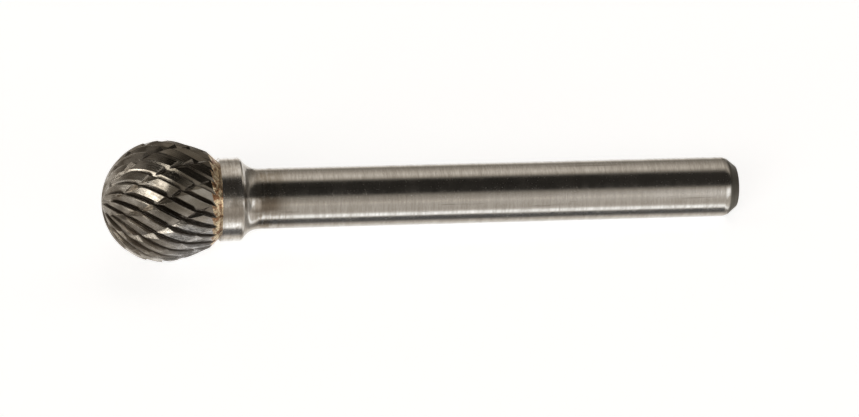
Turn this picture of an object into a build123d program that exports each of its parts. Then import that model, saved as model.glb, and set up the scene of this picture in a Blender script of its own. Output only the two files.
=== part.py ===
"""Carbide burr: a double-cut ball head brazed to a turned steel shank, lying at rest on its side.

Three pieces, as they come together at the brazing bench: the carbide ball, the filler metal
between ball and collar, and the shank with its collar.  Millimetres, +Z up.  The burr lies on
the plane Z = 0, on its ball and on the shoulder of its shank end, and points along X.
"""
from build123d import *
from math import asin, atan, atan2, cos, degrees, hypot, pi, radians, sin, sqrt, tan
import os

# ---- driving dimensions ----------------------------------------------------------------------
overall_length = 63.7          # nose of the ball to the far end of the shank

# ball head
ball_diameter = 12.0           # over the tooth crests
back_blend_start = 1.7         # from the ball's centre, where the back leaves the true ball
back_blend_radius = 24.0       # the fuller arc that runs on from there to the braze
back_cut = 0.80                # how much of the full ball the flat back face cuts off

# braze
braze_gap = 0.15               # filler film between the carbide's back and the collar
braze_reach = 0.95             # how far the filler climbs up the outside of the carbide

# shank
shank_diameter = 6.0
collar_diameter = 8.26
collar_length = 2.25
collar_front_chamfer = 0.22
collar_back_angle = 51.0       # degrees, slope of the cone behind the collar
collar_back_chamfer = 0.10     # broken corner at the collar's back
neck_sweep_radius = 2.0        # concave sweep from that cone into the shank
end_chamfer_length = 1.1
end_chamfer_depth = 0.9
end_shoulder_radius = 1.2      # soft corner between shank and end chamfer

# main flutes: right-hand helix, right-hand cut
flute_count = 24
flute_lead = 0.57              # tangent of the helix angle at the ball's equator
flute_phase = 12.7             # where the first gullet crosses the equator, degrees
gullet_depth = 0.60            # below the crest
gullet_width = 0.50            # from its floor to the foot of the land
foot_depth = 0.27              # how deep the foot of a tooth's back lies
crest_land = 0.07              # what is left of the ball's own surface along each cutting edge
rake_lean = 0.09               # how far the cutting edge leans back over the gullet's depth

# cross cuts: left-hand helix, they break each tooth into chisels
cross_count = 12
cross_lead = -0.49
cross_phase = 28.5
cross_depth = 0.42
cross_nose_flank = 34.0        # degrees from the ball's normal, flank on the nose side
cross_shank_flank = 58.0       # the same on the shank side

# how the flutes begin at the nose and run out at the back
nose_full_angle = 28.0         # from the nose, where all the flutes are present
long_start = 7.0               # every fourth flute reaches this near to the nose
middle_start = 15.0            # every other flute reaches this near
short_start = 26.0             # the rest start here
cross_start = 34.0
cross_margin = 0.05            # the cross cuts have run out this far before the braze
cross_run_out = 1.1            # length over which they do
run_in = 7.0                   # degrees over which a flute reaches its full depth
run_out = 1.5                  # length over which its floor rises towards the collar
run_out_rise = 0.17            # how much it has risen at the collar
overcut = 0.25                 # how far a flute goes on past the braze
cutter_clearance = 0.10        # how far a cutter's body stands out of the ball
land_overrun = 0.20            # how far a cutter's land runs on over the gullet before it

# ---- worked out ------------------------------------------------------------------------------
ball_radius = ball_diameter / 2
shank_radius = shank_diameter / 2
collar_radius = collar_diameter / 2
carbide_back = ball_radius - back_cut
collar_front = carbide_back + braze_gap
collar_back = collar_front + collar_length
shank_end = overall_length - ball_radius
end_shoulder = shank_end - end_chamfer_length
end_radius = shank_radius - end_chamfer_depth
bead_foot_radius = collar_radius - collar_front_chamfer
braze_start = collar_front - braze_reach
cross_end = braze_start - cross_margin

# the back of the ball: an arc that is tangent to the ball at back_blend_start
blend_share = 1 - back_blend_radius / ball_radius
blend_centre = back_blend_start * blend_share
blend_axis_offset = sqrt(ball_radius**2 - back_blend_start**2) * blend_share


def outline_tilt(z):
    """Angle of the blank's outward normal towards the shank, at z from the ball's centre."""
    if z <= back_blend_start:
        return asin(z / ball_radius)
    return asin((z - blend_centre) / back_blend_radius)


def outline_radius(z):
    """Radius of the fluted blank at z from the ball's centre."""
    if z <= back_blend_start:
        return sqrt(ball_radius**2 - z**2)
    return blend_axis_offset + back_blend_radius * cos(outline_tilt(z))


# ---- where it lies ---------------------------------------------------------------------------
# it touches the ground below the ball's centre and under the shank's end shoulder
shoulder_turn = atan(end_chamfer_depth / end_chamfer_length)
contact_along = end_shoulder - end_shoulder_radius * tan(shoulder_turn / 2)
contact_out = shank_radius - end_shoulder_radius
contact_reach = hypot(contact_along, contact_out)
rest_tilt = asin((ball_radius - end_shoulder_radius) / contact_reach) - atan2(contact_out, contact_along)
pointing = Vector(cos(rest_tilt), 0, -sin(rest_tilt))
ball_centre = Vector(ball_radius - overall_length * cos(rest_tilt) / 2, 0, ball_radius)
# profiles: x along the tool from the ball's centre, y outwards
profile_plane = Plane(origin=ball_centre, x_dir=pointing, z_dir=(0, -1, 0))
# patterns: looking along the tool from its nose, z along the tool
end_on = Plane(origin=ball_centre, x_dir=(0, 1, 0), z_dir=pointing)
tool_axis = Axis(ball_centre, pointing)


# ---- cutters, each made about its own Z axis with the ball's centre at the origin ------------
def path_plane(z, lead):
    """Plane across a flute at z: x out of the ball, z along the flute's helix."""
    tilt = outline_tilt(z)
    radius = outline_radius(z)
    turn = lead * z / ball_radius
    outward = Vector(cos(turn) * cos(tilt), sin(turn) * cos(tilt), sin(tilt))
    backward = Vector(-cos(turn) * sin(tilt), -sin(turn) * sin(tilt), cos(tilt))
    around = Vector(-sin(turn), cos(turn), 0)
    along = backward + around * (radius * lead / ball_radius * cos(tilt))
    return Plane(origin=(radius * cos(turn), radius * sin(turn), z), x_dir=outward, z_dir=along)


def stations(start_angle, end, steps):
    """Places along a flute in even steps of angle round the ball, as (z, share of full size)."""
    full_size_radius = ball_radius * sin(radians(nose_full_angle))
    end_angle = 90 + degrees(asin(end / ball_radius))
    places = []
    for step in range(steps + 1):
        angle = start_angle + (end_angle - start_angle) * step / steps
        z = -ball_radius * cos(radians(angle))
        places.append((z, max(outline_radius(z), full_size_radius) / ball_radius))
    return places


def main_section(z, size, depth_share):
    """Section of a gullet and of the back of the tooth before it: floor, rake face, land."""
    pitch = 2 * pi * ball_radius / flute_count * cos(atan(flute_lead)) * size
    rise = run_out_rise * max(0, 1 - (collar_front - z) / run_out)
    floor = flute_floor(gullet_depth * size - rise, depth_share)
    foot = flute_floor(foot_depth * size - rise, depth_share)
    # the land runs from its foot to the edge of the tooth before, where the ball has fallen away
    edge_across = pitch - crest_land
    edge_drop = edge_across**2 / ball_diameter * depth_share
    land_slope = (foot + edge_drop) / (edge_across - gullet_width * size)
    far_across = edge_across + land_overrun
    with BuildSketch(path_plane(z, flute_lead)) as section:
        with BuildLine():
            Polyline(
                (floor, 0),
                (cutter_clearance, rake_lean * size),
                (cutter_clearance, -far_across),
                (-edge_drop - land_slope * land_overrun, -far_across),
                (foot, -gullet_width * size),
                close=True,
            )
        make_face()
    return section.sketch


def cross_section(z, size, depth_share):
    """Section of a V notch, steep on the nose side."""
    floor = flute_floor(cross_depth * size, depth_share)
    height = cutter_clearance - floor
    with BuildSketch(path_plane(z, cross_lead)) as section:
        with BuildLine():
            Polyline(
                (floor, 0),
                (cutter_clearance, height * tan(radians(cross_shank_flank))),
                (cutter_clearance, -height * tan(radians(cross_nose_flank))),
                close=True,
            )
        make_face()
    return section.sketch


def flute_floor(depth, depth_share):
    """Height over the ball of a flute's floor: just clear of it where the share is 0."""
    clear = cutter_clearance / 2
    return clear - depth_share * (clear + depth)


def main_cutter(start_angle, steps):
    """A main flute, from its run-in near the nose to past the braze."""
    first, *rest = stations(start_angle + run_in, collar_front + overcut, steps)
    run_in_place = (-ball_radius * cos(radians(start_angle)), first[1])
    sections = [main_section(*run_in_place, 0)]
    sections += [main_section(*place, 1) for place in (first, *rest)]
    with BuildPart() as cutter:
        loft(sections=sections)
    return cutter.part


def cross_cutter(steps):
    """A cross cut, with a run-in at its nose end and a run-out before the braze."""
    places = stations(cross_start + run_in, cross_end - cross_run_out, steps)
    run_in_place = (-ball_radius * cos(radians(cross_start)), places[0][1])
    run_out_place = (cross_end, places[-1][1])
    sections = [cross_section(*run_in_place, 0)]
    sections += [cross_section(*place, 1) for place in places]
    sections.append(cross_section(*run_out_place, 0))
    with BuildPart() as cutter:
        loft(sections=sections)
    return cutter.part


long_flute = main_cutter(long_start, 7)
middle_flute = main_cutter(middle_start, 6)
short_flute = main_cutter(short_start, 6)
cross_flute = cross_cutter(5)

flute_pitch_angle = 360 / flute_count


def cut_flutes():
    """Take every flute out of the part that is being built, turned about the tool's axis."""
    with PolarLocations(0, flute_count // 4, start_angle=flute_phase):
        add(long_flute, mode=Mode.SUBTRACT)
    with PolarLocations(0, flute_count // 4, start_angle=flute_phase + 2 * flute_pitch_angle):
        add(middle_flute, mode=Mode.SUBTRACT)
    with PolarLocations(0, flute_count // 2, start_angle=flute_phase + flute_pitch_angle):
        add(short_flute, mode=Mode.SUBTRACT)
    with PolarLocations(0, cross_count, start_angle=cross_phase):
        add(cross_flute, mode=Mode.SUBTRACT)


# ---- carbide head ----------------------------------------------------------------------------
nose = (-ball_radius, 0)
blend_point = (back_blend_start, outline_radius(back_blend_start))
braze_edge = (braze_start, outline_radius(braze_start))
back_rim = (carbide_back, bead_foot_radius)

with BuildPart(end_on) as carbide_head:
    with BuildSketch(profile_plane):
        with BuildLine():
            RadiusArc(nose, blend_point, ball_radius)
            RadiusArc(blend_point, braze_edge, back_blend_radius)
            Polyline(braze_edge, back_rim, (carbide_back, 0), nose)
        make_face()
    revolve(axis=tool_axis)
    cut_flutes()

# ---- braze joint -----------------------------------------------------------------------------
bead_foot = (collar_front, bead_foot_radius)

with BuildPart(end_on) as braze_joint:
    with BuildSketch(profile_plane):
        with BuildLine():
            Polyline(braze_edge, bead_foot, (collar_front, 0), (carbide_back, 0), back_rim, close=True)
        make_face()
    revolve(axis=tool_axis)
    cut_flutes()

# ---- steel shank -----------------------------------------------------------------------------
neck_slope = tan(radians(collar_back_angle))
neck_corner = collar_back + (collar_radius - shank_radius) / neck_slope
shank_corners = (
    (collar_front, 0),
    (collar_front, bead_foot_radius),
    (collar_front + collar_front_chamfer, collar_radius),
    (collar_back - collar_back_chamfer, collar_radius),
    (collar_back + collar_back_chamfer / neck_slope, collar_radius - collar_back_chamfer),
    (neck_corner, shank_radius),
    (end_shoulder, shank_radius),
    (shank_end, end_radius),
    (shank_end, 0),
)
# the sweep ends short of the collar's broken corner
neck_flank = hypot(neck_corner - collar_back, collar_radius - shank_radius)
neck_flank_left = neck_flank - 2 * collar_back_chamfer
neck_sweep_limit = neck_flank_left / tan(radians(collar_back_angle) / 2)
neck_sweep = min(neck_sweep_radius, neck_sweep_limit)
corner_radii = (0, 0, 0, 0, neck_sweep, end_shoulder_radius, 0)

with BuildPart() as steel_shank:
    with BuildSketch(profile_plane):
        with BuildLine():
            FilletPolyline(*shank_corners, radius=corner_radii)
            Line(shank_corners[-1], shank_corners[0])
        make_face()
    revolve(axis=tool_axis)

carbide_head.part.label = "carbide_head"
braze_joint.part.label = "braze_joint"
steel_shank.part.label = "steel_shank"

os.makedirs("parts", exist_ok=True)
export_step(carbide_head.part, "parts/carbide_head.step")
export_step(braze_joint.part, "parts/braze_joint.step")
export_step(steel_shank.part, "parts/steel_shank.step")
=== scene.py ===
"""Finishes, floor, light and camera of a carbide burr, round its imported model.

Laid out as an add-on: each operator finishes one piece or sets the stage.  Metres, +Z up.
"""
import math

import bpy
from bpy.props import FloatProperty, FloatVectorProperty, PointerProperty
from mathutils import Euler, Matrix, Vector

bl_info = {
    "name": "Carbide burr finishes",
    "version": (1, 0, 0),
    "blender": (4, 5, 0),
    "location": "3D View > Sidebar > Burr",
    "description": "Ground carbide, braze and steel finishes with a plain studio stage",
    "category": "Material",
}

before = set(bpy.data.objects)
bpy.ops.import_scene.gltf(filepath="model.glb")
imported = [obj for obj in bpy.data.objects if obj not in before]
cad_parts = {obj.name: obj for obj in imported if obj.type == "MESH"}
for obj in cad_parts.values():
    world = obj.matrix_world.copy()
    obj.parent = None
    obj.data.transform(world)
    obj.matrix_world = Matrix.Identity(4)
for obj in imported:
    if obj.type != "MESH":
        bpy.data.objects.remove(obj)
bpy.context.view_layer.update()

# how the burr lies, and its teeth: counts, leads as tangents, phases in degrees
MM = 0.001
BALL_CENTRE = Vector((-25.8045, 0.0, 6.0)) * MM
BALL_RADIUS = 6.0
REST_TILT = math.radians(3.0641)
FLUTE_LEAD = 0.57
CROSS_LEAD = -0.49
FLUTE_COUNT = 24
FLUTE_PHASE = 12.7
CROSS_COUNT = 12
CROSS_PHASE = 28.5

# how each chisel leans: which random set, and how much more along the tooth than across it
LEAN_SEED = 1.0
LEAN_ALONG = 1.6

# colours of small marks, and of the shade painted in the braze's crevices
BRAZE_CREVICE_SHADE = (0.22, 0.12, 0.06)
STEEL_MARK = (0.20, 0.18, 0.16)
STEEL_EDGE = (0.80, 0.78, 0.75)

# camera: image width and focal length in pixels, sensor in millimetres, clipping in metres
IMAGE_WIDTH = 859
FOCAL_PIXELS = 3500.0
SENSOR = 36.0
CLIP_START = 0.01
CLIP_END = 20.0

# floor: how far it is lifted towards white, and how clear it is to bright metal
FLOOR_LIFT = 0.75
FLOOR_CLEARNESS = 0.9

# light tent: brightness by the turn round the burr's length in degrees, 0 at the front, 90 up
TENT_MIDDLE = (
    (-180, 1.00), (-140, 1.05), (-124, 0.95), (-105, 0.65), (-95, 0.50), (-88, 0.26), (-81, 0.02),
    (-62, 0.00), (-58, 0.30), (-54, 1.30), (-48, 1.55), (-43, 1.20), (-38, 0.56), (-33, 0.43),
    (-6, 0.44), (1, 0.57), (11, 0.38), (26, 0.26), (37, 0.02), (86, 0.02), (93, 0.13),
    (101, 0.50), (112, 0.70), (128, 0.52), (146, 0.26), (161, 0.19), (171, 0.64), (180, 1.00),
)
TENT_LEFT = (
    (-180, 1.00), (-165, 1.10), (-150, 1.00), (-135, 0.60), (-120, 0.40), (-100, 0.42), (-80, 0.50),
    (-65, 0.35), (-60, 1.40), (-47, 1.30), (-40, 0.32), (-20, 0.34), (0, 0.40), (20, 0.34),
    (36, 0.10), (50, 0.08), (66, 0.28), (80, 0.32), (110, 0.18), (130, 0.24), (150, 0.38),
    (165, 0.85), (180, 1.00),
)
TENT_RIGHT = (
    (-180, 0.13), (-168, 0.20), (-156, 1.00), (-140, 1.05), (-112, 0.70), (-98, 0.85), (-80, 0.80),
    (-66, 1.05), (-57, 1.25), (-48, 0.60), (-36, 0.40), (-24, 0.48), (-14, 1.10), (0, 1.50),
    (12, 1.30), (22, 0.70), (29, 0.16), (36, 0.03), (86, 0.03), (95, 0.18), (110, 0.48),
    (130, 0.35), (145, 0.24), (160, 0.16), (180, 0.13),
)

# where the tent's parts meet, by the X of a direction
LEFT_TO_MIDDLE = (-0.22, 0.0)
MIDDLE_TO_RIGHT = (0.23, 0.32)
FAR_RIGHT = (0.84, 0.94)
FAR_RIGHT_SHADE = (0.05, 0.05, 0.05)
FAR_RIGHT_SHARE = 0.7

# objects standing round the tent's left part darken it in patches
CLUTTER_SCALE = 3.2
CLUTTER_RANGE = (0.42, 0.60)
CLUTTER_SHARE = 0.70

# low at the front, in degrees, the middle bands drop towards the right
LOW_FRONT = (-45, -25)
DROP_SPAN = (0.15, 0.65)
DROP = 40
LOW_RIGHT_SHARE = 0.25

# tints of the dim and the bright panels, and the brightness at which one turns to the other
DIM_TINT = (1.09, 0.98, 0.84)
BRIGHT_TINT = (1.01, 1.0, 0.98)
TINT_RANGE = (0.45, 1.1)

# soft box on the left front: light, lean, ends, lower and upper edge, and the bar across it
BOX_LIGHT = (4.3, 4.12, 3.76)
BOX_LEAN = -0.62
BOX_NEAR_END = (-1.02, -0.94)
BOX_FAR_END = (-0.50, -0.44)
BOX_LOWER_EDGE = (-18, 2)
BOX_UPPER_EDGE = (35, 39)
BAR_LOWER_EDGE = (13, 16)
BAR_UPPER_EDGE = (20, 23)
LIGHT_PAST_BAR = 0.15


def in_radians(degrees):
    """A range of two angles in degrees, in radians."""
    return tuple(math.radians(value) for value in degrees)


# ---- shader graphs ---------------------------------------------------------------------------
class Graph:
    """A node tree, with a short call for each node that the finishes are built from."""

    def __init__(self, tree):
        tree.nodes.clear()
        self.tree = tree

    def node(self, kind, inputs=None, **settings):
        """A node of that kind; inputs are numbers, colours or sockets by name or index."""
        made = self.tree.nodes.new(kind)
        for name, value in settings.items():
            setattr(made, name, value)
        for name, value in (inputs or {}).items():
            self.feed(made.inputs[name], value)
        return made

    def feed(self, socket, value):
        """Links a socket to the input, or sets the input's own value."""
        if isinstance(value, bpy.types.NodeSocket):
            self.tree.links.new(value, socket)
        else:
            socket.default_value = value

    def math(self, operation, *values, clamp=False):
        """Result of a math operation on the values."""
        inputs = dict(enumerate(values))
        made = self.node("ShaderNodeMath", inputs, operation=operation, use_clamp=clamp)
        return made.outputs[0]

    def plus(self, total, *values):
        """Sum of two or more values."""
        for value in values:
            total = self.math("ADD", total, value)
        return total

    def times(self, product, *values):
        """Product of two or more values."""
        for value in values:
            product = self.math("MULTIPLY", product, value)
        return product

    def weigh(self, first, weight, second):
        """First by its weight, plus second by the rest."""
        return self.math("MULTIPLY_ADD", first, weight, self.times(second, 1.0 - weight))

    def shift(self, noise, width):
        """Noise as a shift of up to half the width either way."""
        return self.math("MULTIPLY_ADD", noise, width, -width / 2)

    def opposite(self, value):
        """1 where the value is 0, and 0 where it is 1."""
        return self.math("SUBTRACT", 1.0, value)

    def vector(self, operation, *values, output=0):
        """Result of a vector operation on the values."""
        inputs = dict(enumerate(values))
        made = self.node("ShaderNodeVectorMath", inputs, operation=operation)
        return made.outputs[output]

    def split(self, vector):
        """X, Y and Z of a vector."""
        return self.node("ShaderNodeSeparateXYZ", {0: vector}).outputs

    def noise(self, vector, scale=1.0, detail=3.0, roughness=0.5, distortion=0.0):
        """Noise of about 0.3 to 0.7."""
        inputs = {
            "Vector": vector,
            "Scale": scale,
            "Detail": detail,
            "Roughness": roughness,
            "Distortion": distortion,
        }
        return self.node("ShaderNodeTexNoise", inputs).outputs["Fac"]

    def steps(self, value, low, high, start=0.0, end=1.0):
        """Value mapped smoothly from low..high to start..end."""
        inputs = {0: value, 1: low, 2: high, 3: start, 4: end}
        made = self.node("ShaderNodeMapRange", inputs, interpolation_type="SMOOTHSTEP")
        return made.outputs[0]

    def fall(self, value, low, high):
        """1 under low, 0 over high."""
        return self.steps(value, low, high, 1.0, 0.0)

    def window(self, value, rise, fall):
        """1 between two edges, each a range over which the value fades."""
        return self.times(self.steps(value, *rise), self.fall(value, *fall))

    def linear(self, value, low, high, start, end):
        """Value mapped evenly from low..high to start..end."""
        inputs = {0: value, 1: low, 2: high, 3: start, 4: end}
        return self.node("ShaderNodeMapRange", inputs).outputs[0]

    def between(self, share, start, end):
        """A value that goes evenly from start to end as the share goes from 0 to 1."""
        return self.linear(share, 0.0, 1.0, start, end)

    def mix(self, factor, first, second, blend="MIX"):
        """Two colours mixed by a factor."""
        made = self.node("ShaderNodeMix", data_type="RGBA", blend_type=blend)
        self.feed(made.inputs[0], factor)
        for index, colour in ((6, first), (7, second)):
            is_socket = isinstance(colour, bpy.types.NodeSocket)
            self.feed(made.inputs[index], colour if is_socket else (*colour, 1.0))
        return made.outputs[2]

    def ramp(self, factor, stops):
        """A ramp of (place, grey) stops."""
        made = self.node("ShaderNodeValToRGB", {0: factor})
        elements = made.color_ramp.elements
        while len(elements) > 1:
            elements.remove(elements[-1])
        for index, (place, grey) in enumerate(stops):
            element = elements[0] if index == 0 else elements.new(place)
            element.position = place
            element.color = (grey, grey, grey, 1.0)
        return made.outputs[0]

    def along_tool(self):
        """Object coordinates in millimetres about the ball's centre, with Z along the tool."""
        place = self.node("ShaderNodeTexCoord").outputs["Object"]
        inputs = {
            "Vector": place,
            "Location": BALL_CENTRE,
            "Rotation": Euler((0.0, math.pi / 2 + REST_TILT, 0.0)),
            "Scale": (MM, MM, MM),
        }
        return self.node("ShaderNodeMapping", inputs, vector_type="TEXTURE").outputs[0]

    def helix(self, place, lead, around, along):
        """Coordinates that stay the same along a flute of that lead: direction round the tool
        times around, and the place along it times along."""
        z = self.split(place)["Z"]
        inputs = {"Vector": place, "Angle": self.times(z, -lead / BALL_RADIUS)}
        turned = self.node("ShaderNodeVectorRotate", inputs, rotation_type="Z_AXIS").outputs[0]
        flat = self.vector("MULTIPLY", turned, (1.0, 1.0, 0.0))
        ring = self.vector("SCALE", self.vector("NORMALIZE", flat))
        self.feed(ring.node.inputs["Scale"], around)
        rise = self.node("ShaderNodeCombineXYZ", {"Z": self.times(z, along)}).outputs[0]
        return self.vector("ADD", ring, rise)

    def pattern(self, place, lead, count, phase):
        """Number of a flute in a pattern of that many and that phase in degrees, counted round the
        tool, and the share of the way to the next one."""
        parts = self.split(place)
        turn = self.math("ARCTAN2", self.times(parts["X"], -1.0), parts["Y"])
        turn = self.math("MULTIPLY_ADD", parts["Z"], -lead / BALL_RADIUS, turn)
        number = self.math("MULTIPLY_ADD", turn, count / math.tau, -phase * count / 360)
        whole = self.math("FLOORED_MODULO", self.math("FLOOR", number), count)
        return whole, self.math("FRACT", number)

    def lean(self, place):
        """Height in millimetres that tilts each chisel a little its own way: its share of the way
        across times a random slope, added up for the flutes and the cross cuts."""
        flute, across = self.pattern(place, FLUTE_LEAD, FLUTE_COUNT, FLUTE_PHASE)
        cross, along = self.pattern(place, CROSS_LEAD, CROSS_COUNT, CROSS_PHASE)
        inputs = {"X": flute, "Y": cross, "Z": LEAN_SEED}
        chisel = self.node("ShaderNodeCombineXYZ", inputs).outputs[0]
        random = self.node("ShaderNodeTexWhiteNoise", {"Vector": chisel}, noise_dimensions="3D")
        slopes = self.split(random.outputs["Color"])
        first = self.times(self.math("SUBTRACT", slopes["X"], 0.5), across)
        second = self.times(self.math("SUBTRACT", slopes["Y"], 0.5), along)
        return self.math("MULTIPLY_ADD", second, LEAN_ALONG, first)

    def edges(self, radius, low, high):
        """1 on the edges of the piece and 0 on its faces, by how far a rounded normal turns."""
        true = self.node("ShaderNodeNewGeometry").outputs["Normal"]
        same = self.vector("DOT_PRODUCT", self.rounded(radius), true, output=1)
        return self.steps(self.opposite(same), low, high)

    def rounded(self, radius):
        """Normal of a surface whose edges are broken by that radius."""
        return self.node("ShaderNodeBevel", {"Radius": radius}, samples=6).outputs[0]

    def crevices(self, distance, low, high):
        """1 deep in a groove and 0 in the open."""
        seen = self.node("ShaderNodeAmbientOcclusion", {"Distance": distance}, samples=8)
        hidden = self.math("SUBTRACT", 1.0, seen.outputs["AO"], clamp=True)
        return self.steps(hidden, low, high)

    def bump(self, height, strength, depth, normal=None):
        """Normal of a surface raised by the height, up to a depth in millimetres."""
        inputs = {"Height": height, "Strength": strength, "Distance": depth * MM}
        if normal is not None:
            inputs["Normal"] = normal
        return self.node("ShaderNodeBump", inputs).outputs[0]

    def metal(self, name, colour, roughness, normal):
        """Output of an uncoated metal surface."""
        inputs = {
            "Base Color": colour,
            "Metallic": 1.0,
            "Roughness": roughness,
            "Normal": normal,
        }
        surface = self.node("ShaderNodeBsdfPrincipled", inputs, label=name)
        self.node("ShaderNodeOutputMaterial", {"Surface": surface.outputs[0]})


def finish_node(name, material):
    """Gives the finish to a CAD node's material slots."""
    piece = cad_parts.get(name)
    if piece is None:
        raise RuntimeError(f"the model has no piece named {name}")
    if not piece.material_slots:
        piece.data.materials.append(None)
    for slot in piece.material_slots:
        slot.link = "OBJECT"
        slot.material = material


def new_material(name):
    """A new material and the graph of its nodes."""
    material = bpy.data.materials.new(name)
    material.use_nodes = True
    return material, Graph(material.node_tree)


# ---- settings --------------------------------------------------------------------------------
class BurrCarbide(bpy.types.PropertyGroup):
    """Finish of the ground carbide ball."""

    colour: FloatVectorProperty(
        name="Carbide", description="Colour of a freshly ground face", subtype="COLOR",
        default=(0.51, 0.48, 0.44), min=0.0, max=1.0)
    dull_colour: FloatVectorProperty(
        name="Dull carbide", description="Colour where the face is smeared or stained",
        subtype="COLOR", default=(0.26, 0.23, 0.195), min=0.0, max=1.0)
    lower_light_colour: FloatVectorProperty(
        name="Lower light", description="Colour of the light painted on the lower side near the joint",
        subtype="COLOR", default=(0.66, 0.66, 0.665), min=0.0, max=1.0)
    upper_shade_colour: FloatVectorProperty(
        name="Upper shade", description="Colour of the shade painted on the upper side near the joint",
        subtype="COLOR", default=(0.15, 0.135, 0.11), min=0.0, max=1.0)
    gullet_shade_colour: FloatVectorProperty(
        name="Gullet shade", description="Colour of the shade painted deep in the gullets", subtype="COLOR",
        default=(0.12, 0.10, 0.083), min=0.0, max=1.0)
    edge_colour: FloatVectorProperty(
        name="Worn edge", description="Colour of the bright cutting edges", subtype="COLOR",
        default=(0.84, 0.79, 0.72), min=0.0, max=1.0)
    roughness: FloatProperty(
        name="Roughness", description="Roughness of a clean ground face",
        default=0.18, min=0.0, max=1.0)


class BurrBraze(bpy.types.PropertyGroup):
    """Finish of the braze between ball and collar."""

    colour: FloatVectorProperty(
        name="Braze", description="Colour of the bright filler metal", subtype="COLOR",
        default=(0.96, 0.80, 0.56), min=0.0, max=1.0)
    tarnish: FloatVectorProperty(
        name="Tarnish", description="Colour where the filler is heated brown", subtype="COLOR",
        default=(0.36, 0.18, 0.09), min=0.0, max=1.0)
    roughness: FloatProperty(
        name="Roughness", description="Roughness of the filler metal",
        default=0.20, min=0.0, max=1.0)


class BurrSteel(bpy.types.PropertyGroup):
    """Finish of the turned and ground shank."""

    colour: FloatVectorProperty(
        name="Steel", description="Colour of the ground steel", subtype="COLOR",
        default=(0.70, 0.69, 0.67), min=0.0, max=1.0)
    ring_colour: FloatVectorProperty(
        name="Rings", description="Colour of the duller rings round the shank", subtype="COLOR",
        default=(0.55, 0.53, 0.50), min=0.0, max=1.0)
    collar_colour: FloatVectorProperty(
        name="Collar", description="Colour of the turned collar", subtype="COLOR",
        default=(0.93, 0.92, 0.90), min=0.0, max=1.0)
    heat_tint: FloatVectorProperty(
        name="Heat tint", description="Brown that the brazing leaves in patches near the collar",
        subtype="COLOR", default=(0.30, 0.25, 0.19), min=0.0, max=1.0)
    front_shade_colour: FloatVectorProperty(
        name="Front shade", description="Colour of the shade painted on the front beside the neck", subtype="COLOR",
        default=(0.20, 0.165, 0.13), min=0.0, max=1.0)
    end_colour: FloatVectorProperty(
        name="End", description="Colour of the dull chamfer at the end of the shank",
        subtype="COLOR", default=(0.105, 0.10, 0.08), min=0.0, max=1.0)
    roughness: FloatProperty(
        name="Roughness", description="Roughness of the ground shank",
        default=0.15, min=0.0, max=1.0)


class BurrStage(bpy.types.PropertyGroup):
    """Floor, light and camera."""

    floor_colour: FloatVectorProperty(
        name="Floor", description="Colour of the floor", subtype="COLOR",
        default=(0.84, 0.86, 0.90), min=0.0, max=1.0)
    floor_size: FloatProperty(
        name="Floor size", description="Width of the floor", subtype="DISTANCE", unit="LENGTH",
        default=4.0, min=0.5)
    azimuth: FloatProperty(
        name="Azimuth", description="Turn of the camera round the burr", subtype="ANGLE",
        unit="ROTATION", default=math.radians(-8.566))
    elevation: FloatProperty(
        name="Elevation", description="Height of the camera over the floor", subtype="ANGLE",
        unit="ROTATION", default=math.radians(29.474))
    distance: FloatProperty(
        name="Distance", description="Distance from the origin to the camera's plane",
        subtype="DISTANCE", unit="LENGTH", default=0.350369)
    right: FloatProperty(
        name="Right", description="Shift of the camera to its right", subtype="DISTANCE",
        unit="LENGTH", default=0.000721)
    up: FloatProperty(
        name="Up", description="Shift of the camera to its top", subtype="DISTANCE",
        unit="LENGTH", default=0.002613)


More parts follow.
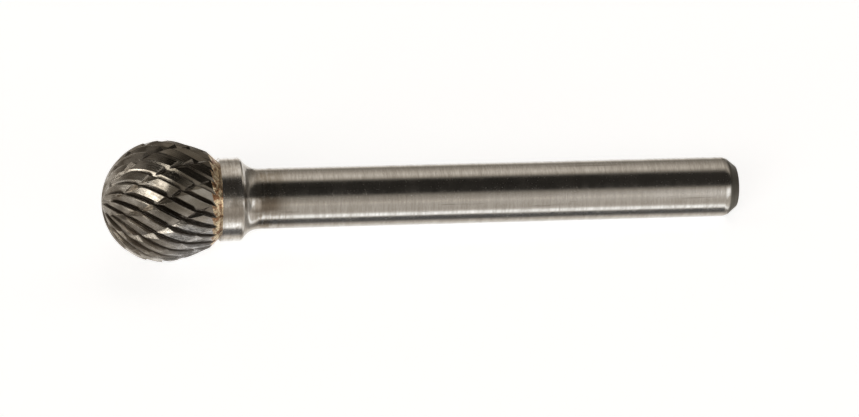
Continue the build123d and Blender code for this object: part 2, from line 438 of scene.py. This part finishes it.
# ---- pieces ----------------------------------------------------------------------------------
class BURR_OT_carbide(bpy.types.Operator):
    """Finish the ball: lands ground along the flutes, painted shade in the gullets, bright broken
    edges
    """

    bl_idname = "burr.carbide"
    bl_label = "Finish the carbide head"

    def execute(self, context):
        sizes = context.scene.burr_carbide
        material, graph = new_material("ground_carbide")
        place = graph.along_tool()
        parts = graph.split(place)
        streaks = graph.noise(
            graph.helix(place, FLUTE_LEAD, around=75.0, along=0.45), detail=4.0, roughness=0.65)
        fine = graph.noise(
            graph.helix(place, FLUTE_LEAD, around=260.0, along=1.3), detail=2.0, roughness=0.6)
        blotches = graph.noise(place, scale=0.9, detail=4.0, roughness=0.6)
        grit = graph.noise(place, scale=22.0, roughness=0.6)
        mottle = graph.noise(place, scale=2.4, roughness=0.6, distortion=0.5)
        ragged = graph.shift(blotches, width=2.4)
        down = graph.plus(parts["X"], ragged)
        dull = graph.steps(graph.weigh(blotches, 0.6, streaks), low=0.40, high=0.62)
        # painted shade: the upper side near the joint is darkened
        upper = graph.fall(down, low=-2.4, high=-0.2)
        near_joint = graph.steps(graph.plus(parts["Z"], ragged), low=-2.6, high=0.8)
        # painted light: the lower side near the joint is made lighter, and its waves are raised
        # more
        lower_light = graph.times(
            graph.steps(down, low=-1.3, high=1.2), graph.steps(parts["Z"], low=-1.5, high=2.0))
        # painted shade: deep in the gullets, found by ambient occlusion, the colour is darkened;
        # there the face is also rougher
        crevice_shade = graph.crevices(0.50 * MM, low=0.20, high=0.70)
        wear = graph.times(
            graph.edges(0.06 * MM, low=0.02, high=0.16),
            graph.steps(streaks, low=0.35, high=0.6))
        colour = graph.mix(dull, sizes.colour, sizes.dull_colour)
        colour = graph.mix(graph.times(near_joint, upper, 0.85), colour, sizes.upper_shade_colour)
        colour = graph.mix(graph.times(lower_light, 0.85), colour, sizes.lower_light_colour)
        colour = graph.mix(crevice_shade, colour, sizes.gullet_shade_colour)
        colour = graph.mix(graph.times(wear, 0.5), colour, sizes.edge_colour)
        rough = graph.plus(
            graph.linear(streaks, 0.3, 0.7, start=-0.05, end=0.06),
            graph.linear(grit, 0.3, 0.7, start=-0.03, end=0.04))
        base = graph.between(dull, sizes.roughness, sizes.roughness + 0.08)
        rough = graph.math("ADD", rough, base, clamp=True)
        rough = graph.plus(rough, graph.times(crevice_shade, 0.25))
        waves = graph.times(mottle, graph.between(lower_light, 0.12, 2.4))
        normal = graph.bump(graph.lean(place), 1.0, depth=0.20, normal=graph.rounded(0.03 * MM))
        normal = graph.bump(waves, 0.45, depth=0.09, normal=normal)
        normal = graph.bump(streaks, 0.40, depth=0.02, normal=normal)
        normal = graph.bump(fine, 0.35, depth=0.006, normal=normal)
        normal = graph.bump(grit, 0.10, depth=0.006, normal=normal)
        graph.metal("Carbide", colour, rough, normal)
        finish_node("carbide_head", material)
        return {"FINISHED"}


class BURR_OT_braze(bpy.types.Operator):
    """Finish the braze: golden filler, browned in patches"""

    bl_idname = "burr.braze"
    bl_label = "Finish the braze joint"

    def execute(self, context):
        sizes = context.scene.burr_braze
        material, graph = new_material("braze_filler")
        place = graph.along_tool()
        patches = graph.noise(place, scale=1.5, detail=4.0, roughness=0.6, distortion=0.4)
        pits = graph.noise(place, scale=14.0, roughness=0.6)
        browned = graph.steps(graph.weigh(patches, 0.75, pits), low=0.46, high=0.57)
        colour = graph.mix(browned, sizes.colour, sizes.tarnish)
        # painted shade: the filler's crevices, found by ambient occlusion, are darkened
        crevice_shade = graph.crevices(0.35 * MM, low=0.25, high=0.75)
        colour = graph.mix(crevice_shade, colour, BRAZE_CREVICE_SHADE)
        rough = graph.linear(
            pits, 0.3, 0.7, start=sizes.roughness - 0.06, end=sizes.roughness + 0.14)
        normal = graph.bump(patches, 1.0, depth=0.30)
        normal = graph.bump(pits, 0.30, depth=0.03, normal=normal)
        graph.metal("Braze", colour, rough, normal)
        finish_node("braze_joint", material)
        return {"FINISHED"}


class BURR_OT_steel(bpy.types.Operator):
    """Finish the shank: rings of the grinding wheel, turned collar, heat tint near the braze"""

    bl_idname = "burr.steel"
    bl_label = "Finish the steel shank"

    def execute(self, context):
        sizes = context.scene.burr_steel
        material, graph = new_material("ground_steel")
        place = graph.along_tool()
        parts = graph.split(place)
        down = parts["X"]
        z = parts["Z"]

        def stretched(around, along, detail, roughness, distortion=0.0):
            """Noise with its own scales round the tool and along it."""
            scaled = graph.vector("MULTIPLY", place, (around, around, along))
            return graph.noise(
                scaled, detail=detail, roughness=roughness, distortion=distortion)

        rings = stretched(0.9, 7.0, detail=5.0, roughness=0.75)
        broad_rings = stretched(0.12, 1.6, detail=4.0, roughness=0.7)
        turned = stretched(0.30, 4.0, detail=4.0, roughness=0.7)
        scratches = stretched(2.2, 0.12, detail=3.0, roughness=0.6, distortion=0.3)
        blotches = graph.noise(place, scale=0.55, detail=5.0, roughness=0.65)
        grit = graph.noise(place, scale=18.0, detail=2.0, roughness=0.6)
        specks = graph.steps(graph.noise(place, scale=5.0, roughness=0.6), low=0.64, high=0.72)
        scratch = graph.steps(scratches, low=0.66, high=0.72)
        # zones along the tool, in millimetres from the ball's centre
        collar = graph.opposite(graph.steps(z, low=7.4, high=7.8))
        neck = graph.opposite(graph.steps(z, low=8.6, high=14.0))
        past_neck = graph.steps(z, low=8.4, high=9.6, start=0.25, end=1.0)
        end = graph.steps(z, low=56.50, high=56.78)
        shade = graph.weigh(rings, 0.6, broad_rings)
        # heat tint in patches, hardly any on the bright sweep of the neck
        tint = graph.steps(graph.weigh(turned, 0.4, blotches), low=0.42, high=0.58)
        tint = graph.times(
            neck, tint, graph.between(collar, 0.85, 0.48), graph.math("MAXIMUM", collar, past_neck))
        # painted shade on the front: one patch beside the neck, a fainter one round the collar
        ragged = graph.shift(blotches, width=1.6)
        front = graph.window(graph.plus(down, ragged), rise=(-1.9, -1.2), fall=(-0.4, 0.1))
        beside = graph.window(graph.plus(z, ragged), rise=(8.3, 9.0), fall=(10.4, 12.6))
        strength = graph.plus(graph.times(collar, 0.55), graph.times(beside, 0.85))
        front_shade = graph.times(front, strength)
        marks = graph.math("MAXIMUM", graph.times(scratch, 0.35), graph.times(specks, 0.45))
        edge = graph.edges(0.06 * MM, low=0.01, high=0.12)
        colour = graph.mix(
            graph.steps(shade, low=0.36, high=0.64), sizes.colour, sizes.ring_colour)
        colour = graph.mix(graph.times(collar, 0.75), colour, sizes.collar_colour)
        colour = graph.mix(tint, colour, sizes.heat_tint)
        colour = graph.mix(front_shade, colour, sizes.front_shade_colour)
        colour = graph.mix(graph.times(end, 0.85), colour, sizes.end_colour)
        colour = graph.mix(marks, colour, STEEL_MARK)
        colour = graph.mix(graph.times(edge, 0.5), colour, STEEL_EDGE)
        rough = graph.plus(
            graph.linear(shade, 0.35, 0.65, start=-0.05, end=0.09),
            graph.linear(blotches, 0.3, 0.7, start=-0.03, end=0.04),
            graph.times(collar, 0.03),
            graph.times(specks, 0.15))
        base = graph.between(end, sizes.roughness, sizes.roughness + 0.22)
        rough = graph.math("ADD", rough, base, clamp=True)
        normal = graph.bump(rings, 0.08, depth=0.02)
        normal = graph.bump(graph.times(turned, collar), 0.17, depth=0.05, normal=normal)
        normal = graph.bump(broad_rings, 0.09, depth=0.04, normal=normal)
        normal = graph.bump(graph.times(blotches, neck), 0.12, depth=0.05, normal=normal)
        normal = graph.bump(grit, 0.06, depth=0.004, normal=normal)
        graph.metal("Steel", colour, rough, normal)
        finish_node("steel_shank", material)
        return {"FINISHED"}


# ---- stage -----------------------------------------------------------------------------------
class BURR_OT_stage(bpy.types.Operator):
    """Set the floor, the light tent and the camera"""

    bl_idname = "burr.stage"
    bl_label = "Set the stage"

    def execute(self, context):
        sizes = context.scene.burr_stage
        context.scene.view_settings.view_transform = "Standard"
        self.lay_floor(context.scene, sizes)
        self.light_tent(context.scene)
        self.place_camera(context.scene, sizes)
        return {"FINISHED"}

    def lay_floor(self, scene, sizes):
        """A plain pale floor, lifted to white where it is seen, that keeps the burr's shadow."""
        half = sizes.floor_size / 2
        corners = [(-half, -half, 0.0), (half, -half, 0.0), (half, half, 0.0), (-half, half, 0.0)]
        mesh = bpy.data.meshes.new("floor")
        mesh.from_pydata(corners, [], [(0, 1, 2, 3)])
        floor = bpy.data.objects.new("floor", mesh)
        scene.collection.objects.link(floor)
        material, graph = new_material("pale_floor")
        path = graph.node("ShaderNodeLightPath").outputs
        seen = graph.math("MAXIMUM", path["Is Camera Ray"], path["Is Transmission Ray"])
        seen = graph.math("MAXIMUM", seen, path["Is Glossy Ray"])
        matt = graph.node("ShaderNodeBsdfDiffuse", {"Color": (*sizes.floor_colour, 1.0)})
        white = (1.0, 1.0, 1.0, 1.0)
        inputs = {"Color": white, "Strength": graph.times(seen, FLOOR_LIFT)}
        lift = graph.node("ShaderNodeEmission", inputs)
        both = graph.node("ShaderNodeAddShader", {0: matt.outputs[0], 1: lift.outputs[0]})
        # bright metal shows the floor as a thin veil over the lower half of the tent
        clear = graph.node("ShaderNodeBsdfTransparent")
        veil = graph.times(path["Is Glossy Ray"], FLOOR_CLEARNESS)
        inputs = {0: veil, 1: both.outputs[0], 2: clear.outputs[0]}
        surface = graph.node("ShaderNodeMixShader", inputs)
        graph.node("ShaderNodeOutputMaterial", {"Surface": surface.outputs[0]})
        mesh.materials.append(material)

    def light_tent(self, scene):
        """Brightness by the turn round the burr's length, 0 towards the front and 90 degrees up,
        with a soft box low on the left front."""
        world = bpy.data.worlds.new("light_tent")
        scene.world = world
        world.use_nodes = True
        graph = Graph(world.node_tree)
        way = graph.node("ShaderNodeTexCoord").outputs["Generated"]
        parts = graph.split(way)
        sideways = parts["X"]
        turn = graph.math("ARCTAN2", parts["Z"], graph.times(parts["Y"], -1.0))
        share = graph.plus(graph.math("DIVIDE", turn, math.tau), 0.5)
        low = graph.fall(turn, *in_radians(LOW_FRONT))
        drop = graph.times(low, graph.linear(sideways, *DROP_SPAN, start=0.0, end=DROP / 360))

        def band(pairs, place):
            """Brightness along the turn, from its stops in degrees."""
            return graph.ramp(place, [((degrees + 180) / 360, shade) for degrees, shade in pairs])

        left = band(TENT_LEFT, share)
        clutter = graph.steps(graph.noise(way, CLUTTER_SCALE, detail=2.0), *CLUTTER_RANGE)
        cluttered = graph.mix(clutter, left, (0.0, 0.0, 0.0))
        left = graph.mix(CLUTTER_SHARE, left, cluttered)
        middle = band(TENT_MIDDLE, graph.plus(share, drop))
        right = band(TENT_RIGHT, share)
        right_share = graph.times(
            graph.steps(sideways, *MIDDLE_TO_RIGHT), graph.between(low, 1.0, LOW_RIGHT_SHARE))
        far_right = graph.steps(sideways, *FAR_RIGHT, start=0.0, end=FAR_RIGHT_SHARE)
        tent = graph.mix(graph.steps(sideways, *LEFT_TO_MIDDLE), left, middle)
        tent = graph.mix(right_share, tent, right)
        tent = graph.mix(far_right, tent, FAR_RIGHT_SHADE)
        warmth = graph.mix(graph.steps(tent, *TINT_RANGE), DIM_TINT, BRIGHT_TINT)
        tent = graph.mix(1.0, tent, warmth, "MULTIPLY")
        tent = graph.mix(self.soft_box(graph, sideways, turn), tent, BOX_LIGHT)
        light = graph.node("ShaderNodeBackground", {"Color": tent, "Strength": 1.0})
        graph.node("ShaderNodeOutputWorld", {"Surface": light.outputs[0]})

    def soft_box(self, graph, sideways, turn):
        """1 on the two panels of a soft box whose far end is higher than its near one."""
        along = graph.plus(sideways, graph.times(turn, BOX_LEAN))
        length = graph.window(along, BOX_NEAR_END, BOX_FAR_END)
        height = graph.window(turn, in_radians(BOX_LOWER_EDGE), in_radians(BOX_UPPER_EDGE))
        bar = graph.window(turn, in_radians(BAR_LOWER_EDGE), in_radians(BAR_UPPER_EDGE))
        return graph.times(length, height, graph.between(bar, 1.0, LIGHT_PAST_BAR))

    def place_camera(self, scene, sizes):
        """Camera at its azimuth, elevation and distance, shifted in its own plane."""
        back = Vector((
            math.sin(sizes.azimuth) * math.cos(sizes.elevation),
            -math.cos(sizes.azimuth) * math.cos(sizes.elevation),
            math.sin(sizes.elevation),
        ))
        right = Vector((0.0, 0.0, 1.0)).cross(back).normalized()
        up = back.cross(right)
        place = back * sizes.distance + right * sizes.right + up * sizes.up
        data = bpy.data.cameras.new("camera")
        data.sensor_width = SENSOR
        data.lens = FOCAL_PIXELS * SENSOR / IMAGE_WIDTH
        data.clip_start = CLIP_START
        data.clip_end = CLIP_END
        camera = bpy.data.objects.new("camera", data)
        scene.collection.objects.link(camera)
        turned = Matrix((right, up, back)).transposed().to_4x4()
        camera.matrix_world = Matrix.Translation(place) @ turned
        scene.camera = camera


class BURR_PT_panel(bpy.types.Panel):
    """Lists the burr's finishes and its stage"""

    bl_idname = "BURR_PT_panel"
    bl_label = "Burr"
    bl_space_type = "VIEW_3D"
    bl_region_type = "UI"
    bl_category = "Burr"

    def draw(self, context):
        for group, operator in STEPS:
            box = self.layout.box()
            settings = getattr(context.scene, group)
            for name in settings.__annotations__:
                box.prop(settings, name)
            box.operator(operator.bl_idname)


STEPS = (
    ("burr_carbide", BURR_OT_carbide),
    ("burr_braze", BURR_OT_braze),
    ("burr_steel", BURR_OT_steel),
    ("burr_stage", BURR_OT_stage),
)
GROUPS = {
    "burr_carbide": BurrCarbide,
    "burr_braze": BurrBraze,
    "burr_steel": BurrSteel,
    "burr_stage": BurrStage,
}
CLASSES = (*GROUPS.values(), *(operator for _, operator in STEPS), BURR_PT_panel)


def register():
    """Registers the classes and gives each scene its settings."""
    for cls in CLASSES:
        bpy.utils.register_class(cls)
    for name, group in GROUPS.items():
        setattr(bpy.types.Scene, name, PointerProperty(type=group))


def unregister():
    """Takes the settings and the classes away again."""
    for name in GROUPS:
        delattr(bpy.types.Scene, name)
    for cls in reversed(CLASSES):
        bpy.utils.unregister_class(cls)


def main():
    """Registers the add-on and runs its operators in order."""
    register()
    bpy.ops.burr.carbide()
    bpy.ops.burr.braze()
    bpy.ops.burr.steel()
    bpy.ops.burr.stage()


if __name__ == "__main__":
    main()
